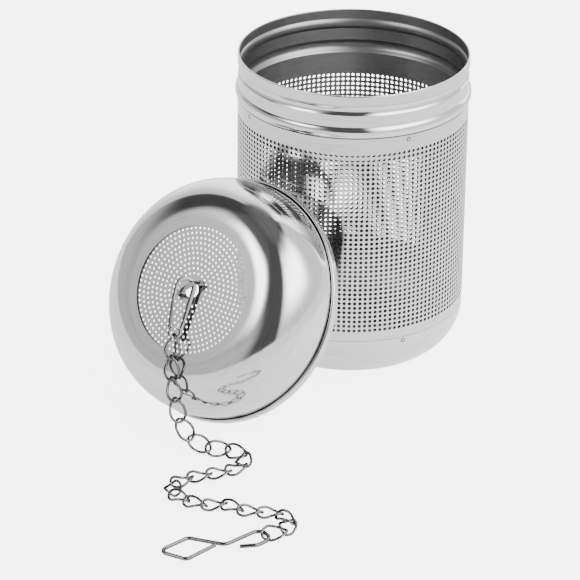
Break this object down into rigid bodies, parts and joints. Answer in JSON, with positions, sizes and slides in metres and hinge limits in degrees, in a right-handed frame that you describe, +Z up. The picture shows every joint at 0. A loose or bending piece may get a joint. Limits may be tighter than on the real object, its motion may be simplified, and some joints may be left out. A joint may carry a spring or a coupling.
{
  "type": "tea infuser",
  "caption": "Cylindrical perforated metal tea infuser basket with a domed perforated lid leaning on it, a snap clasp, a curb chain and a bent wire hook.",
  "frame": {"origin": "centre of the basket's flat base, on the surface it stands on", "axes": "+Z up along the basket axis; the leaning lid lies towards -Y, and the chain runs on towards -Y and +X"},
  "size_m": [0.0799, 0.1375, 0.0763],
  "materials": {
    "polished_sheet": "mirror-polished stainless steel sheet with faint drawing marks",
    "perforated_sheet": "polished stainless steel sheet with fine punched holes",
    "stamped_strip": "bright stamped steel strip",
    "wire": "bright drawn steel wire"
  },
  "bodies": {
    "basket": {"collar_ring": "polished_sheet", "mesh_wall": "perforated_sheet", "bottom_cup": "polished_sheet"},
    "lid": {"lid_dome": "polished_sheet", "lid_strainer": "perforated_sheet", "strap": "stamped_strip"},
    "clasp": {"clasp_body": "stamped_strip"},
    "gate": {"clasp_gate": "stamped_strip"},
    "link_01": {"chain_link_01": "wire"},
    "link_02": {"chain_link_02": "wire"},
    "link_03": {"chain_link_03": "wire"},
    "link_04": {"chain_link_04": "wire"},
    "link_05": {"chain_link_05": "wire"},
    "link_06": {"chain_link_06": "wire"},
    "link_07": {"chain_link_07": "wire"},
    "link_08": {"chain_link_08": "wire"},
    "link_09": {"chain_link_09": "wire"},
    "link_10": {"chain_link_10": "wire"},
    "link_11": {"chain_link_11": "wire"},
    "link_12": {"chain_link_12": "wire"},
    "link_13": {"chain_link_13": "wire"},
    "link_14": {"chain_link_14": "wire"},
    "link_15": {"chain_link_15": "wire"},
    "link_16": {"chain_link_16": "wire"},
    "link_17": {"chain_link_17": "wire"},
    "link_18": {"chain_link_18": "wire"},
    "link_19": {"chain_link_19": "wire"},
    "link_20": {"chain_link_20": "wire"},
    "link_21": {"chain_link_21": "wire"},
    "link_22": {"chain_link_22": "wire"},
    "link_23": {"chain_link_23": "wire"},
    "hook": {"hook": "wire"}
  },
  "joints": [
    {"name": "lid_lift", "type": "slide", "parent": "basket", "child": "lid", "axis": [0, -0.866, 0.5], "range_m": [0, 0.06]},
    {"name": "clasp_swing", "type": "hinge", "parent": "lid", "child": "clasp", "pos_m": [-0.00351, -0.05929, 0.03508], "axis": [0, 0, 1], "range_deg": [-3, 4]},
    {"name": "gate_spring", "type": "hinge", "parent": "clasp", "child": "gate", "pos_m": [-0.00407, -0.0645, 0.02718], "axis": [-0.7071, 0.6124, -0.3536], "range_deg": [0, 8], "stiffness_Nm_per_rad": 0.002},
    {"name": "link_01_turn", "type": "hinge", "parent": "clasp", "child": "link_01", "pos_m": [-0.00288, -0.06424, 0.02525], "axis": [0, 0, -1], "range_deg": [-2, 8]},
    {"name": "link_02_turn", "type": "hinge", "parent": "link_01", "child": "link_02", "pos_m": [-0.00185, -0.06657, 0.02056], "axis": [0, 0, 1], "range_deg": [-8, 4]},
    {"name": "link_03_turn", "type": "hinge", "parent": "link_02", "child": "link_03", "pos_m": [-0.00031, -0.06834, 0.01626], "axis": [0, 0, -1], "range_deg": [-8, 8]},
    {"name": "link_04_turn", "type": "hinge", "parent": "link_03", "child": "link_04", "pos_m": [0.00141, -0.06925, 0.01176], "axis": [0, 0, 1], "range_deg": [-8, 8]},
    {"name": "link_05_turn", "type": "hinge", "parent": "link_04", "child": "link_05", "pos_m": [0.00307, -0.06989, 0.0072], "axis": [0, 0, -1], "range_deg": [-7, 8]},
    {"name": "link_06_turn", "type": "hinge", "parent": "link_05", "child": "link_06", "pos_m": [0.00571, -0.06923, 0.00312], "axis": [0, 0, 1], "range_deg": [-8, 3]},
    {"name": "link_07_turn", "type": "hinge", "parent": "link_06", "child": "link_07", "pos_m": [0.00935, -0.06721, 0.0009], "axis": [0, 0, -1], "range_deg": [-8, 8]},
    {"name": "link_08_turn", "type": "hinge", "parent": "link_07", "child": "link_08", "pos_m": [0.01317, -0.06473, 0.0009], "axis": [0, 0, 1], "range_deg": [-8, 8]},
    {"name": "link_09_turn", "type": "hinge", "parent": "link_08", "child": "link_09", "pos_m": [0.01772, -0.06481, 0.0009], "axis": [0, 0, -1], "range_deg": [-8, 2]},
    {"name": "link_10_turn", "type": "hinge", "parent": "link_09", "child": "link_10", "pos_m": [0.02058, -0.06835, 0.0009], "axis": [0, 0, 1], "range_deg": [-3, 8]},
    {"name": "link_11_turn", "type": "hinge", "parent": "link_10", "child": "link_11", "pos_m": [0.01964, -0.0728, 0.0009], "axis": [0, 0, -1], "range_deg": [-8, 8]},
    {"name": "link_12_turn", "type": "hinge", "parent": "link_11", "child": "link_12", "pos_m": [0.01696, -0.07648, 0.0009], "axis": [0, 0, 1], "range_deg": [-8, 8]},
    {"name": "link_13_turn", "type": "hinge", "parent": "link_12", "child": "link_13", "pos_m": [0.01455, -0.08034, 0.0009], "axis": [0, 0, -1], "range_deg": [-8, 8]},
    {"name": "link_14_turn", "type": "hinge", "parent": "link_13", "child": "link_14", "pos_m": [0.0133, -0.08471, 0.0009], "axis": [0, 0, 1], "range_deg": [-8, 8]},
    {"name": "link_15_turn", "type": "hinge", "parent": "link_14", "child": "link_15", "pos_m": [0.01584, -0.08848, 0.0009], "axis": [0, 0, -1], "range_deg": [-8, 8]},
    {"name": "link_16_turn", "type": "hinge", "parent": "link_15", "child": "link_16", "pos_m": [0.02037, -0.08896, 0.0009], "axis": [0, 0, 1], "range_deg": [-8, 8]},
    {"name": "link_17_turn", "type": "hinge", "parent": "link_16", "child": "link_17", "pos_m": [0.02486, -0.08825, 0.0009], "axis": [0, 0, -1], "range_deg": [-8, 8]},
    {"name": "link_18_turn", "type": "hinge", "parent": "link_17", "child": "link_18", "pos_m": [0.02785, -0.08481, 0.0009], "axis": [0, 0, 1], "range_deg": [-8, 8]},
    {"name": "link_19_turn", "type": "hinge", "parent": "link_18", "child": "link_19", "pos_m": [0.0324, -0.08489, 0.0009], "axis": [0, 0, -1], "range_deg": [-8, 8]},
    {"name": "link_20_turn", "type": "hinge", "parent": "link_19", "child": "link_20", "pos_m": [0.03645, -0.08283, 0.0009], "axis": [0, 0, 1], "range_deg": [-8, 8]},
    {"name": "link_21_turn", "type": "hinge", "parent": "link_20", "child": "link_21", "pos_m": [0.04047, -0.08069, 0.0009], "axis": [0, 0, -1], "range_deg": [-8, 4]},
    {"name": "link_22_turn", "type": "hinge", "parent": "link_21", "child": "link_22", "pos_m": [0.04469, -0.0824, 0.00107], "axis": [0, 0, 1], "range_deg": [-4, 8]},
    {"name": "link_23_turn", "type": "hinge", "parent": "link_22", "child": "link_23", "pos_m": [0.04609, -0.08672, 0.00125], "axis": [0, 0, -1], "range_deg": [-8, 5]},
    {"name": "hook_turn", "type": "hinge", "parent": "link_23", "child": "hook", "pos_m": [0.04389, -0.09025, 0.00142], "axis": [0, 0, 1], "range_deg": [-8, 7]}
  ]
}
